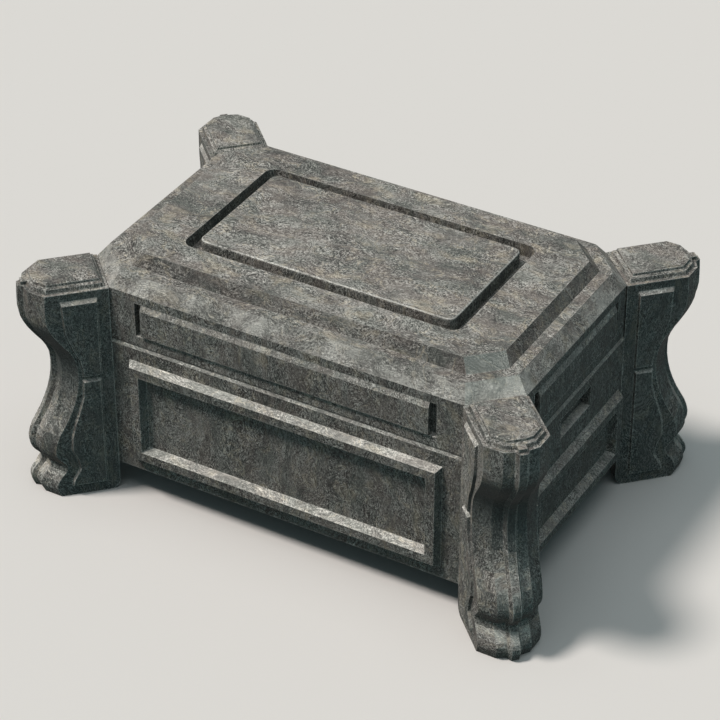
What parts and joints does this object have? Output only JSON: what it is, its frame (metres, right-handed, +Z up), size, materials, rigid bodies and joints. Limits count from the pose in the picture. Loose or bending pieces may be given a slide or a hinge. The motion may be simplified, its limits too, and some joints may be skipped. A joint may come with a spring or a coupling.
{
  "type": "stone chest",
  "caption": "Rectangular stone chest with cut corners, scrolled console legs with stepped caps, panelled sides and a lift-off lid with an inset tablet.",
  "frame": {"origin": "on the ground under the middle of the chest", "axes": "+X along the chest's length, +Y from front to back, +Z up"},
  "size_m": [1.191, 0.816, 0.571],
  "materials": {
    "base_stone": "dressed",
    "leg_stone": "dressed",
    "cap_stone": "dressed",
    "lid_stone": "dressed",
    "tablet_stone": "rubbed",
    "iron": "forged"
  },
  "bodies": {
    "chest": {"floor_slab": "base_stone", "wall_front": "base_stone", "wall_right": "base_stone", "wall_back": "base_stone", "wall_left": "base_stone", "leg_front_right": "leg_stone", "leg_back_right": "leg_stone", "leg_back_left": "leg_stone", "leg_front_left": "leg_stone", "cap_front_right": "cap_stone", "cap_back_right": "cap_stone", "cap_back_left": "cap_stone", "cap_front_left": "cap_stone", "cap_pin_front_right": "iron", "cap_pin_back_right": "iron", "cap_pin_back_left": "iron", "cap_pin_front_left": "iron", "cramp_front_right": "iron", "cramp_back_right": "iron", "cramp_back_left": "iron", "cramp_front_left": "iron", "dowel_low_front_right": "iron", "dowel_high_front_right": "iron", "dowel_low_back_right": "iron", "dowel_high_back_right": "iron", "dowel_low_back_left": "iron", "dowel_high_back_left": "iron", "dowel_low_front_left": "iron", "dowel_high_front_left": "iron"},
    "lid": {"lid_block": "lid_stone", "top_tablet": "tablet_stone", "tablet_pin_left": "iron", "tablet_pin_right": "iron"}
  },
  "joints": [
    {"name": "lid_lift", "type": "slide", "parent": "chest", "child": "lid", "axis": [0, 0, 1], "range_m": [0, 0.26]}
  ]
}
